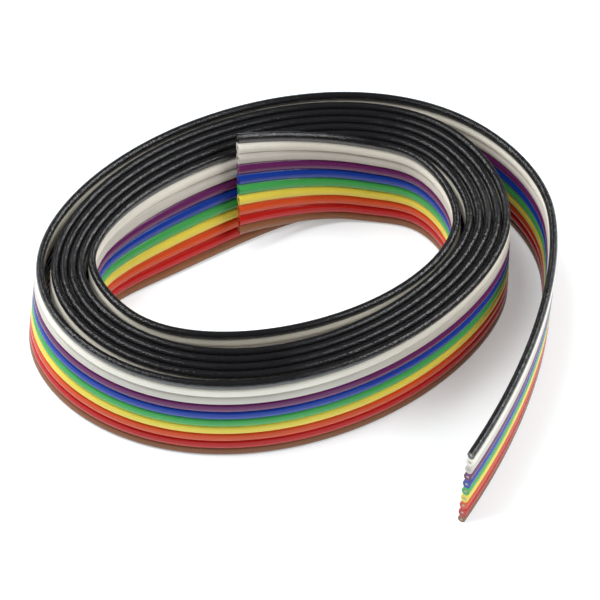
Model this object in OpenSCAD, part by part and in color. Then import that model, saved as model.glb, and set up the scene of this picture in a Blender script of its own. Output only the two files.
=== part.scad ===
/* [Wires] */
// Distance between the middles of two neighbouring wires
wire_pitch = 1.27; // [1.1:0.01:2]
// Thickness of the insulation across the cable
cable_thickness = 0.86; // [0.7:0.01:1.2]
// Thickness of the web that bonds one wire to the next
web_thickness = 0.4; // [0.2:0.01:0.6]
// Height of the flat flank of one wire
flank_height = 0.57; // [0.3:0.01:0.9]
// Width across the stranded conductor
conductor_width = 0.34; // [0.2:0.01:0.5]
// Air between a conductor and its insulation
bore_clearance = 0.01; // [0:0.01:0.05]

/* [Coil] */
// Whole turns in the oval coil
turns = 6; // [2:1:8]
// Radius of the innermost turn round the two ends of the oval
end_radius = 8.63; // [7:0.01:15]
// Radius of the innermost turn along the two sides of the oval
side_radius = 27.79; // [20:0.01:50]
// Angle that the cable turns through round one end of the oval
end_angle = 120; // [90:1:150]
// Air between two turns that lie against each other
turn_gap = 0.02; // [0.01:0.01:1]
// How much smaller the radii of the loose innermost turn are
inner_slack = 0.35; // [0:0.01:0.5]
// Direction in which the cable leaves its lifted inner end
coil_direction = -10; // [-90:1:90]

/* [Loose ends] */
// Angle over which the inner end springs up from the floor
inner_end_angle = 30; // [10:1:45]
// Height of the lifted inner end at its cut
inner_end_lift = 3.8; // [0:0.1:6]
// Radius of the tail where it leaves the coil
tail_leave_radius = 22.4; // [20:0.1:60]
// Angle of the tail where it leaves the coil
tail_leave_angle = 15; // [5:1:30]
// How much wider the tail bends than the turn inside it
tail_bend_extra = 3; // [0.5:0.1:6]
// Angle of the bend in the tail
tail_bend_angle = 75; // [40:1:80]
// Radius of the nearly straight last run of the tail
tail_run_radius = 65; // [40:0.1:90]
// Angle of the last run of the tail
tail_run_angle = 21; // [10:1:40]

/* [Hidden] */
WIRES = ["brown", "red", "orange", "yellow", "green", "blue", "violet", "grey", "white", "black"];
insulation_colours = ["saddlebrown", "crimson", "orangered", "gold", "seagreen",
                      "royalblue", "darkviolet", "silver", "white", "black"];

// The cable is a chain of arcs, each tangent to the one before. Arc 0 is the lifted inner end,
// then the ends and the sides of the oval follow in turn, and the last three arcs are the tail.
coil_arcs = 4 * turns;
oval_angles = [end_angle, 180 - end_angle];
oval_radii = [end_radius, side_radius];
turn_spacing = cable_thickness + turn_gap;
first_joint = 90;
arc_angles = concat(
    [inner_end_angle],
    [for (k = [1:coil_arcs]) oval_angles[(k + 1) % 2]],
    [tail_leave_angle, tail_bend_angle, tail_run_angle]
);
last_arc = len(arc_angles) - 1;

// Directions, seen from each arc's centre, of the joints between the arcs.
joints = [
    for (k = 0, a = first_joint + inner_end_angle; k <= last_arc + 1;
         a = a - (k <= last_arc ? arc_angles[k] : 0), k = k + 1) a
];

// Each arc lies outside the arc one turn before it, by the spacing for the angle travelled.
function middle(k) = (joints[k] + joints[k + 1]) / 2;
function coil_radius(k) = oval_radii[(k + 1) % 2] + turn_spacing * (first_joint - middle(k)) / 360
    - (k <= 4 ? inner_slack : 0);
arc_radii = concat(
    [for (k = [0:coil_arcs]) coil_radius(k)],
    [tail_leave_radius, end_radius + turn_spacing * turns + tail_bend_extra, tail_run_radius]
);

// Where two arcs meet, both centres lie on one line through the joint.
function heading(a) = [cos(a), sin(a)];
arc_centres = [
    for (k = 0, c = [0, 0]; k <= last_arc;
         k = k + 1, c = k <= last_arc ? c + (arc_radii[k - 1] - arc_radii[k]) * heading(joints[k]) : c) c
];

// The outer face, one point for each degree, gives the middle of the cable's outline on the floor.
outer_face = [
    for (k = [0:last_arc], a = [joints[k + 1]:joints[k]])
        let (p = arc_centres[k] + (arc_radii[k] + cable_thickness / 2) * heading(a),
             east = heading(coil_direction))
            [p[0] * east[0] - p[1] * east[1], p[0] * east[1] + p[1] * east[0]]
];
function middle_of(values) = (min(values) + max(values)) / 2;
outline_middle = [for (axis = [0, 1]) middle_of([for (p = outer_face) p[axis]])];

// A move in two steps, a coarse one and the rest, so that its full length counts in every digit.
module place(offset) {
    coarse = [for (v = offset) round(v * 1000) / 1000];
    translate(coarse) translate(offset - coarse) children();
}

// One arc of the cable, with the section given as children at the middle of its thickness.
module arc(k)
    rotate_extrude(start = joints[k + 1], angle = arc_angles[k], $fn = 180)
        place([arc_radii[k], 0]) children();

// The inner end climbs evenly from the first joint to its cut.
module lifted_arc() {
    slope = inner_end_lift / (arc_radii[0] * sin(inner_end_angle));
    multmatrix([[1, 0, 0, 0], [0, 1, 0, 0], [-slope, 0, 1, 0]]) arc(0) children();
}

// A section, given as children, carried along the whole cable at the height of one wire.
module along_cable(wire)
    translate([-outline_middle[0], -outline_middle[1], wire * wire_pitch])
        rotate([0, 0, coil_direction]) {
            place([each arc_centres[0], 0]) lifted_arc() children();
            for (k = [1:last_arc])
                place([each arc_centres[k], 0]) arc(k) children();
        }

// Web, ridge and web again, from one bond to the next.
module wire_section() {
    web = web_thickness / 2;
    ridge = cable_thickness / 2;
    low = (wire_pitch - flank_height) / 2;
    high = wire_pitch - low;
    polygon([
        [-web, 0], [web, 0], [ridge, low], [ridge, high],
        [web, wire_pitch], [-web, wire_pitch], [-ridge, high], [-ridge, low]
    ]);
}

module conductor_section(width)
    translate([-width / 2, wire_pitch / 2 - width / 2]) square(width);

module insulation(wire)
    color(insulation_colours[wire]) along_cable(wire)
        difference() {
            wire_section();
            conductor_section(conductor_width + 2 * bore_clearance);
        }

module conductor(wire)
    color("lightgrey") along_cable(wire) conductor_section(conductor_width);

for (wire = [0:len(WIRES) - 1]) {
    insulation(wire);
    conductor(wire);
}
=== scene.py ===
"""A length of rainbow ribbon cable, wound into an oval coil on its edge, on a pale studio floor."""

import math

import bpy
import numpy as np
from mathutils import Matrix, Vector


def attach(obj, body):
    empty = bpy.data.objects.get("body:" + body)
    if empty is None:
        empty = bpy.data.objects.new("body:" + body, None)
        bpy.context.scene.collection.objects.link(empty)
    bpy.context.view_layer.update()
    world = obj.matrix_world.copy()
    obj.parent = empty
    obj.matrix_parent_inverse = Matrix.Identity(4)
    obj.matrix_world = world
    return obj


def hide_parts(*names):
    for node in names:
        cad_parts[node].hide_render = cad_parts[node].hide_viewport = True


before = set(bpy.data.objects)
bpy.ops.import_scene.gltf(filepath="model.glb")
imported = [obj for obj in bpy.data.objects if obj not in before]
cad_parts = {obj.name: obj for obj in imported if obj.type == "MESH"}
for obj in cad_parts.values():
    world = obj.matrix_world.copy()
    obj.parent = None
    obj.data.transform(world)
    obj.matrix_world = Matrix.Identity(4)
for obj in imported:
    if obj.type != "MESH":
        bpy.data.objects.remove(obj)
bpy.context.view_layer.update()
MM = 0.001

# The camera
# It looks down on the coil from in front. Its lens is long and it stands far away, so the upright walls
# look parallel.
aim = Vector((0.329, 4.963, 0.0)) * MM
camera_height = math.radians(55)
camera_distance = 400 * MM
camera_data = bpy.data.cameras.new("studio_camera")
camera_data.lens = 240
camera_data.sensor_width = 36
camera_data.clip_start = 0.01
camera = bpy.data.objects.new("studio_camera", camera_data)
bpy.context.scene.collection.objects.link(camera)
line_of_sight = Vector((0, -math.cos(camera_height), math.sin(camera_height)))
camera.location = aim + line_of_sight * camera_distance
camera.rotation_euler = (math.radians(90) - camera_height, 0, 0)
bpy.context.scene.camera = camera

# The route of the cable
# The cable was wound off a spool, pressed into an oval and let go on its edge. It starts at a cut end
# that has sprung up a little, runs clockwise for six turns and leaves as a loose tail. Lengths are in mm
# and angles in degrees. A heading is the compass direction, from +X, in which the outer face looks.
wire_pitch = 1.27
cable_width = 10 * wire_pitch
start_point = np.array([-5.857, 13.732])
start_turned = -14.0
coil_heading = 98.0
coil_turned = 360 * 6
tail_end_heading = -31.0
tail_turned = coil_heading - tail_end_heading
stations = 1000
fine_steps = 12000

# The bend radius of the oval, and of the tail at eight of its headings. The tail's takes over in a blend.
mean_radius = 14.693
radius_per_turn = 0.899
tail_headings = [-31, -10, 10, 30, 45, 60, 75, 90]
tail_radii = [82.3, 38.2, 10.35, 15.66, 19.85, 19.24, 21.87, 28.5]
tail_blend = 10

# Where the first turn lies slack: how far inwards, and from where to where in the angle turned. The
# places are the front, the front left and the right.
slack_places = ((1.1, 130, 228), (0.45, 175, 300), (0.36, 30, 160))
slack_at_back = 0.45
last_turn_bulge = 0.4

# The inner turns were pushed over at the back left, the most at this heading.
pushed_heading = 121.5
pushed_reach = 34.7
pushed_lean = 13.1

# The first end springs up from the floor, and its cut is slanted.
end_lift = 3.5
end_lift_length = 14.3
end_slant = 1.1
foot_half = 0.43


def bump(angle, first, last):
    """A smooth hump from 0 to 1 and back: the squared sine of the way from first to last."""
    way = np.clip((angle - first) / (last - first), 0, 1)
    return np.sin(np.pi * way) ** 2


def smooth_step(value):
    """A smooth climb from 0 to 1, as three squares less two cubes."""
    value = np.clip(value, 0, 1)
    return value * value * (3 - 2 * value)


def wave(heading, count, size, phase):
    """A wave round the compass: its size times the cosine of so many headings less its phase."""
    return size * np.cos(np.radians(count * heading - phase))


def signed_angle(angle):
    """The same angle, between half a turn back and half a turn on."""
    return (angle + 180) % 360 - 180


def nearness_to_back(turned):
    """A hump for each time the cable passes the back, on all but its last pass."""
    before_last_pass = turned < 2000
    return bump(signed_angle(turned), -38, 85) * before_last_pass


def oval_bend_radius(heading, turned):
    """Radius of bend of the coil: a mean that grows by one thickness a turn, plus a wave that makes two
    tight ends and two long sides, one that makes one end tighter than the other, and two for its flatter
    and fuller places. The first two waves drift a little from the first turn to the last."""
    drift = np.clip(turned / coil_turned, 0, 1) - 0.5
    ends_and_sides = wave(heading, 2, -10.26 - 0.36 * drift, 37.73 + 1.9 * drift)
    uneven_ends = wave(heading, 3, 1.5 - 0.34 * drift, 4.1 - 2.5 * drift)
    flat_places, full_places = wave(heading, 4, 4.81, 111.1), wave(heading, 5, 1.8, 141)
    growth = radius_per_turn * turned / 360
    return mean_radius + growth + ends_and_sides + uneven_ends + flat_places + full_places


def shift_outwards(turned):
    """How far each place lies outside the plain oval, as a sum of humps. The first turn is slack, and so
    is each pass of the back. The middle turns are packed outwards at the front left, less with each
    turn, and drawn in at the back left, more with each turn. The last turn bulges at the left."""
    turn = turned / 360
    in_turn = turned % 360
    slack = sum(size * bump(turned, first, last) for size, first, last in slack_places)
    slack += slack_at_back * nearness_to_back(turned)
    packed = (0.2 - 0.055 * turn) * bump(in_turn, 165, 335) - 0.045 * turn * bump(in_turn, 245, 358)
    packed *= (turn > 1) & (turn < 5.2)
    bulge = last_turn_bulge * bump(turned, 1935, 2180)
    return packed + bulge - slack


def follow_route(count):
    """Points along the top of the cable: the sum of small steps, each at right angles to its heading and
    as long as the bend radius times the small angle turned, and then moved in or out by the shift. Gives
    points at even distances, the angle turned at each and the length up to each."""
    turned = np.linspace(start_turned, coil_turned + tail_turned, fine_steps)
    heading = coil_heading - turned
    leaving = smooth_step((turned - coil_turned) / tail_blend)
    tail_radius = np.interp(heading + coil_turned, tail_headings, tail_radii)
    radius = oval_bend_radius(heading, turned) * (1 - leaving) + tail_radius * leaving
    angle = np.radians(heading)
    outward = np.stack([np.cos(angle), np.sin(angle)], axis=1)
    onward = np.stack([np.sin(angle), -np.cos(angle)], axis=1)
    step = onward * radius[:, None] * math.radians(turned[1] - turned[0])
    points = start_point + np.vstack([[0, 0], np.cumsum((step[1:] + step[:-1]) / 2, axis=0)])
    points += outward * shift_outwards(turned)[:, None]
    length = np.concatenate([[0], np.cumsum(np.hypot(*np.diff(points, axis=0).T))])
    even = np.linspace(0, length[-1], count)
    points = np.stack([np.interp(even, length, points[:, axis]) for axis in (0, 1)], axis=1)
    return points, np.interp(even, length, turned), even


def lean_of_wall(heading, turned):
    """How far the wall leans, top outwards: waves round the compass that change from the first turn's to
    the last's, the push at the back left, a little less at the back and at the first end, and for the
    tail an even change from leaning in to leaning out."""
    share = np.clip(turned / coil_turned, 0, 1)
    inner = 3 + wave(heading, 1, 2.7, -99) + wave(heading, 2, 4.1, -153)
    outer = -1.9 + wave(heading, 1, 3, -12) + wave(heading, 2, 2.1, 160.6)
    from_pushed = signed_angle(heading - pushed_heading)
    pushed = pushed_lean * bump(from_pushed, -pushed_reach, pushed_reach) * (1 - share) ** 2
    coil = inner * (1 - share) + outer * share + pushed - 1.2 * nearness_to_back(turned)
    coil -= 2.2 * smooth_step((12 - turned) / 26)
    tail = -6.5 + 9.4 * np.clip((turned - coil_turned) / tail_turned, 0, 1)
    leaving = smooth_step((turned - coil_turned + 40) / 80)
    return coil * (1 - leaving) + tail * leaving


top_line, turned, along = follow_route(stations)
cable_length = along[-1]
heading = coil_heading - turned
outward = np.stack([np.cos(np.radians(heading)), np.sin(np.radians(heading)), 0 * heading], axis=1)
upward = np.array([0.0, 0.0, 1.0])
onward = np.cross(outward, upward)
lean = np.radians(lean_of_wall(heading, turned))[:, None]
wall_up = upward * np.cos(lean) + outward * np.sin(lean)
wall_out = outward * np.cos(lean) - upward * np.sin(lean)

# The lean sets how far in from the top line the foot lies, and the foot is raised by as much as its
# lower corner would sink below the floor.
to_the_end = np.clip(1 - along / end_lift_length, 0, 1)
lift = end_lift * to_the_end ** 1.5
foot = np.column_stack([top_line, lift]) + foot_half * np.abs(np.sin(lean)) * upward
foot -= outward * cable_width * np.sin(lean)

# The first cut isn't square: the lower wires reach a little further than the upper ones.
cut_slant = end_slant * to_the_end ** 2
wall_up += onward * (cut_slant / cable_width)[:, None]
foot -= onward * cut_slant[:, None]


def sweep(section):
    """Carries a section along the cable: each of its points goes out across the wall by its first number
    and up the wall by its second, in mm. Gives an array of stations by points by three, in metres."""
    across = section[None, :, 0, None] * wall_out[:, None, :]
    up = section[None, :, 1, None] * wall_up[:, None, :]
    return (foot[:, None, :] + across + up) * MM


# The insulations
# Ten strips of coloured PVC, extruded together round the conductors and bonded by thin webs, so the
# band has one soft ridge for each wire and a groove between them. The two edge wires are a little
# narrower, because their free edges are round, and the black one, on top, is scuffed and shiny.
ridge_half = 0.415
edge_half = 0.39
web_half = 0.12
wire_reach = 0.66
edge_reach = 0.41
ridge_power = 1.5
edge_flat = 0.15
bore_radius = 0.19
ring_points = 20
bore_points = 8
sharp_edge = math.radians(50)
wires = {
    "brown": (0.24, 0.095, 0.042),
    "red": (0.46, 0.008, 0.006),
    "orange": (0.60, 0.065, 0.01),
    "yellow": (0.76, 0.62, 0.07),
    "green": (0.05, 0.36, 0.08),
    "blue": (0.005, 0.04, 0.32),
    "violet": (0.12, 0.015, 0.10),
    "grey": (0.56, 0.53, 0.48),
    "white": (0.80, 0.77, 0.68),
    "black": (0.008, 0.008, 0.009),
}
satin = {"speckled": 0.0, "roughness": 0.10, "shine": 0.24}
scuffed = {"speckled": 12.0, "roughness": 0.04, "shine": 0.6}
pvc_ior = 1.53
cloud_scale = 260.0
grain_scale = 2600.0
speckle_scale = 6500.0
line_scale = 1.6
line_stretch = (0.35, 14.0, 1.0)
relief_depth = 0.03 * MM


def middle_of_wire(order):
    """Height of a wire's middle: one round edge up from the floor, then two reaches for each wire below."""
    return edge_reach + 2 * wire_reach * order


def ridge_section(order):
    """One wire's outline. On each flank its half width is the web's plus the ridge's rise times a power of
    the cosine, at a height that follows the sine. The free edges of the band are half ellipses instead."""
    angle = np.linspace(-np.pi / 2, np.pi / 2, ring_points // 2)
    free_side = {0: -1, len(wires) - 1: 1}.get(order, 0)
    free = angle * free_side > 0
    widest = edge_half if free_side else ridge_half
    ridge = web_half + (widest - web_half) * np.cos(angle) ** ridge_power
    half = np.where(free, widest * np.maximum(np.cos(angle), edge_flat), ridge)
    height = middle_of_wire(order) + np.sin(angle) * np.where(free, edge_reach, wire_reach)
    right = np.stack([half, height], axis=1)
    left = np.stack([-half, height], axis=1)[::-1]
    return np.vstack([right, left])


def round_section(radius, order, count):
    """A circle round the middle of one wire, by its cosine and sine."""
    angle = np.linspace(0, 2 * np.pi, count, endpoint=False)
    return np.stack([radius * np.cos(angle), middle_of_wire(order) + radius * np.sin(angle)], axis=1)


def grid_faces(rows, columns, first=0):
    """Quads of a tube: each point, its neighbour round the ring, and the same two one station on."""
    row, column = np.meshgrid(np.arange(rows - 1), np.arange(columns), indexing="ij")
    here = first + row * columns + column
    beside = first + row * columns + (column + 1) % columns
    return np.stack([here, beside, beside + columns, here + columns], axis=-1).reshape(-1, 4)


def cap_between(outer, inner):
    """Triangles of a flat ring between two closed outlines of different counts. The edges of both are
    taken by their middles' share of the way round, and each is joined to the point that the other
    outline has come to."""
    count, inner_count = len(outer), len(inner)
    share = np.concatenate([(np.arange(count) + 0.5) / count, (np.arange(inner_count) + 0.5) / inner_count])
    by_share = np.argsort(share, kind="stable")
    on_outer = by_share < count
    on_inner = ~on_outer
    from_outer = outer[(np.cumsum(on_outer) - on_outer) % count]
    from_inner = inner[(np.cumsum(on_inner) - on_inner) % inner_count]
    following = np.concatenate([np.roll(outer, -1), np.roll(inner, -1)])[by_share]
    return np.stack([from_outer, following, from_inner], axis=1)


def build_piece(name, points, quads, triangles, texture_points):
    """Puts points and faces into a mesh, with a map of mm along the cable and the share of the way round."""
    mesh = bpy.data.meshes.new(name)
    loops = np.concatenate([quads.ravel(), triangles.ravel()])
    sizes = np.concatenate([np.full(len(quads), 4), np.full(len(triangles), 3)])
    mesh.vertices.add(len(points))
    mesh.vertices.foreach_set("co", points.ravel().astype(np.float32))
    mesh.loops.add(len(loops))
    mesh.loops.foreach_set("vertex_index", loops.astype(np.int32))
    mesh.polygons.add(len(sizes))
    mesh.polygons.foreach_set("loop_start", (np.cumsum(sizes) - sizes).astype(np.int32))
    mesh.update(calc_edges=True)
    mesh.polygons.foreach_set("use_smooth", np.ones(len(sizes), bool))
    layer = mesh.uv_layers.new(name="along_and_round")
    layer.data.foreach_set("uv", texture_points[loops].ravel().astype(np.float32))
    mesh.set_sharp_from_angle(angle=sharp_edge)
    mesh.validate()
    piece = bpy.data.objects.new(name, mesh)
    bpy.context.scene.collection.objects.link(piece)
    return piece


def tube(name, section, bore):
    """An insulation: its outline and its bore carried along the cable, joined by flat rings at both cuts."""
    outer, inner = sweep(section), sweep(bore)
    count, bore_count = len(section), len(bore)
    points = np.vstack([outer.reshape(-1, 3), inner.reshape(-1, 3)])
    first_bore = stations * count
    quads = np.vstack([grid_faces(stations, count)[:, ::-1], grid_faces(stations, bore_count, first_bore)])
    near = cap_between(np.arange(count), first_bore + np.arange(bore_count))
    last = (stations - 1) * count
    last_bore = first_bore + (stations - 1) * bore_count
    far = cap_between(last + np.arange(count), last_bore + np.arange(bore_count))
    triangles = np.vstack([near, far[:, ::-1]])
    around = np.concatenate([np.tile(np.linspace(0, 1, count), stations),
                             np.tile(np.linspace(0, 1, bore_count), stations)])
    distance = np.concatenate([np.repeat(along, count), np.repeat(along, bore_count)])
    return build_piece(name, points, quads, triangles, np.stack([distance, around], axis=1))


class Socket:
    """A socket of a material's tree, on which sums and products add Math nodes."""

    def __init__(self, tree, socket):
        self.tree, self.socket = tree, socket

    def math(self, operation, *values):
        return add_node(self.tree, "ShaderNodeMath", {"operation": operation}, dict(enumerate(values)))

    def __add__(self, other): return self.math("ADD", self, other)
    def __radd__(self, other): return self.math("ADD", other, self)
    def __sub__(self, other): return self.math("SUBTRACT", self, other)
    def __rsub__(self, other): return self.math("SUBTRACT", other, self)
    def __mul__(self, other): return self.math("MULTIPLY", self, other)
    def __rmul__(self, other): return self.math("MULTIPLY", other, self)


def add_node(tree, kind, settings=None, inputs=None, output=0):
    """Adds a node: its settings first, then a value or a link for each named or numbered socket."""
    node = tree.nodes.new(kind)
    for key, value in (settings or {}).items():
        setattr(node, key, value)
    for key, value in (inputs or {}).items():
        if isinstance(value, Socket):
            tree.links.new(value.socket, node.inputs[key])
        else:
            node.inputs[key].default_value = value
    return Socket(tree, node.outputs[output])


def noise(tree, place, scale, detail):
    """Cloudy noise from 0 to 1 at a place, finer with a greater scale."""
    return add_node(tree, "ShaderNodeTexNoise", inputs={"Vector": place, "Scale": scale, "Detail": detail})


def grey_of(tree, value):
    """A colour with the same value in all three channels."""
    return add_node(tree, "ShaderNodeCombineColor", inputs={0: value, 1: value, 2: value})


def new_material(name):
    """An empty material: gives it with its tree and its Principled shader."""
    material = bpy.data.materials.new(name)
    material.use_nodes = True
    tree = material.node_tree
    return material, tree, tree.nodes["Principled BSDF"]


def pvc(name, colour, speckled, roughness, shine):
    """Satin extruded PVC: faint cloudy colour, fine lines along the wire, a soft uneven gloss and, on the
    wire that forms the scuffed top edge, a fine speckle."""
    material, tree, shader = new_material(name)
    place = add_node(tree, "ShaderNodeTexCoord", output="Object")
    run = add_node(tree, "ShaderNodeUVMap", {"uv_map": "along_and_round"})
    stretch = add_node(tree, "ShaderNodeVectorMath", {"operation": "MULTIPLY"}, {0: run, 1: line_stretch})
    speckle = noise(tree, place, speckle_scale, 2.0)
    cloud = noise(tree, place, cloud_scale, 3.0)
    grain = noise(tree, place, grain_scale, 2.0)
    lines = noise(tree, stretch, line_scale, 3.0)
    shade = 0.9 + 0.2 * cloud
    tint = add_node(tree, "ShaderNodeMix", {"data_type": "RGBA", "blend_type": "MULTIPLY"},
                    {"Factor": 1.0, 6: (*colour, 1.0), 7: grey_of(tree, shade)}, output=2)
    tree.links.new(tint.socket, shader.inputs["Base Color"])
    rough = roughness + 0.16 * cloud + 0.08 * grain
    tree.links.new(rough.socket, shader.inputs["Roughness"])
    height = lines + 0.4 * grain + speckled * speckle
    relief = add_node(tree, "ShaderNodeBump",
                      inputs={"Strength": 0.25, "Distance": relief_depth, "Height": height})
    tree.links.new(relief.socket, shader.inputs["Normal"])
    shader.inputs["IOR"].default_value = pvc_ior
    shader.inputs["Specular IOR Level"].default_value = shine
    return material


for order, (colour_name, colour) in enumerate(wires.items()):
    bore = round_section(bore_radius, order, bore_points)
    insulation = tube(colour_name + "_wire", ridge_section(order), bore)
    finish = scuffed if colour_name == "black" else satin
    insulation.data.materials.append(pvc(colour_name + "_pvc", colour, **finish))
    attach(insulation, "root")
    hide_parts(colour_name + "_insulation")

# The conductors
# Seven tinned copper strands, twisted together, show as small bright dots at the two cut ends. The
# PVC was extruded tightly round them.
conductor_radius = 0.18
strand_relief = 0.12
twist_length = 12.0
conductor_points = 12
tin_colour = (0.40, 0.34, 0.28, 1.0)
smear_scale = 5000.0
path_step = 4


def stranded_rod(name, order):
    """A rod with six lobes, one for each outer strand, that turns once in a twist length: a circle whose
    radius is less at every other point, turned evenly along the cable, with a flat fan at both cuts."""
    angle = np.linspace(0, 2 * np.pi, conductor_points, endpoint=False)
    radius = conductor_radius * (1 - strand_relief * (np.arange(conductor_points) % 2))
    spun = angle[None, :] + (2 * np.pi * along / twist_length)[:, None]
    across = (radius * np.cos(spun))[:, :, None] * wall_out[:, None, :]
    up = (middle_of_wire(order) + radius * np.sin(spun))[:, :, None] * wall_up[:, None, :]
    rod = (foot[:, None, :] + across + up) * MM
    points = np.vstack([rod.reshape(-1, 3), rod[0].mean(0), rod[-1].mean(0)])
    quads = grid_faces(stations, conductor_points)[:, ::-1]
    here = np.arange(conductor_points)
    beside = np.roll(here, -1)
    last = (stations - 1) * conductor_points
    near_middle = np.full(conductor_points, stations * conductor_points)
    near = np.stack([near_middle, here, beside], axis=1)
    far = np.stack([near_middle + 1, last + beside, last + here], axis=1)
    triangles = np.stack([near, far], axis=1).reshape(-1, 3)
    distance = np.append(np.repeat(along, conductor_points), [0, cable_length])
    around = np.append(np.tile(np.linspace(0, 1, conductor_points), stations), [0, 0])
    return build_piece(name, points, quads, triangles, np.stack([distance, around], axis=1))


def tinned_copper():
    """Tin on copper, a little dull and smeared from the cutter."""
    material, tree, shader = new_material("tinned_copper")
    place = add_node(tree, "ShaderNodeTexCoord", output="Object")
    rough = 0.40 + 0.25 * noise(tree, place, smear_scale, 2.0)
    tree.links.new(rough.socket, shader.inputs["Roughness"])
    shader.inputs["Base Color"].default_value = tin_colour
    shader.inputs["Metallic"].default_value = 1.0
    return material


tin = tinned_copper()
for order, colour_name in enumerate(wires):
    conductor = stranded_rod(colour_name + "_strands", order)
    conductor.data.materials.append(tin)
    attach(conductor, "root")
    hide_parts(colour_name + "_conductor")
    line = sweep(np.array([[0.0, middle_of_wire(order)]]))[:, 0]
    line = np.vstack([line[:-1:path_step], line[-1:]])
    cable_length * MM

# The floor and the light
# A plain white studio: a pale floor that keeps the soft shadows, a long soft lamp high on either side, a
# smaller one overhead that leaves no highlight on the shiny edges, and an even white room.
floor_half = 1.5
floor_colour = (0.74, 0.80, 0.83, 1.0)
glow_seen = 0.29
glow_mirrored = 0.3
glow_bounced = 0.12
room_light = 0.24
room_in_gloss = 0.04
side_lamp_size = (0.5, 0.14)
top_lamp_size = (0.2, 0.2)


def ray_is(tree, kind):
    """1 on rays of one kind, such as Camera or Glossy, and 0 on the others."""
    return add_node(tree, "ShaderNodeLightPath", output=f"Is {kind} Ray")


floor_mesh = bpy.data.meshes.new("studio_floor")
floor_mesh.from_pydata([(-floor_half, -floor_half, 0), (floor_half, -floor_half, 0),
                        (floor_half, floor_half, 0), (-floor_half, floor_half, 0)], [], [(0, 1, 2, 3)])
floor = bpy.data.objects.new("studio_floor", floor_mesh)
bpy.context.scene.collection.objects.link(floor)
floor_material, tree, shader = new_material("studio_floor")
shader.inputs["Base Color"].default_value = floor_colour
shader.inputs["Roughness"].default_value = 0.9
shader.inputs["Specular IOR Level"].default_value = 0.0
glow = (glow_seen * ray_is(tree, "Camera") + glow_mirrored * ray_is(tree, "Glossy")
        + glow_bounced * ray_is(tree, "Diffuse"))
tree.links.new(grey_of(tree, glow).socket, shader.inputs["Emission Color"])
shader.inputs["Emission Strength"].default_value = 1.0
floor_mesh.materials.append(floor_material)

room = bpy.data.worlds.new("studio_room")
bpy.context.scene.world = room
room.use_nodes = True
room_tree = room.node_tree
background = room_tree.nodes["Background"]
background.inputs["Color"].default_value = (1.0, 1.0, 1.0, 1.0)
direct = add_node(room_tree, "ShaderNodeMath", {"operation": "MAXIMUM"},
                  {0: ray_is(room_tree, "Camera"), 1: ray_is(room_tree, "Transmission")})
room_strength = (room_light + (1 - room_light) * direct
                 - (room_light - room_in_gloss) * ray_is(room_tree, "Glossy"))
room_tree.links.new(room_strength.socket, background.inputs["Strength"])


def soft_lamp(name, place, size, power):
    """An oblong lamp at a place in metres, turned to face the coil."""
    lamp = bpy.data.lights.new(name, "AREA")
    lamp.shape = "RECTANGLE"
    lamp.size, lamp.size_y = size
    lamp.energy = power
    holder = bpy.data.objects.new(name, lamp)
    bpy.context.scene.collection.objects.link(holder)
    holder.location = place
    holder.rotation_euler = (Vector(place) - aim).to_track_quat("Z", "Y").to_euler()
    return holder


soft_lamp("left_lamp", (-0.34, 0.05, 0.41), side_lamp_size, 1.75)
soft_lamp("right_lamp", (0.36, 0.03, 0.38), side_lamp_size, 2.2)
top_lamp = soft_lamp("top_lamp", (-0.14, 0.0, 0.49), top_lamp_size, 1.55)
top_lamp.visible_glossy = False

bpy.context.scene.view_settings.view_transform = "Standard"
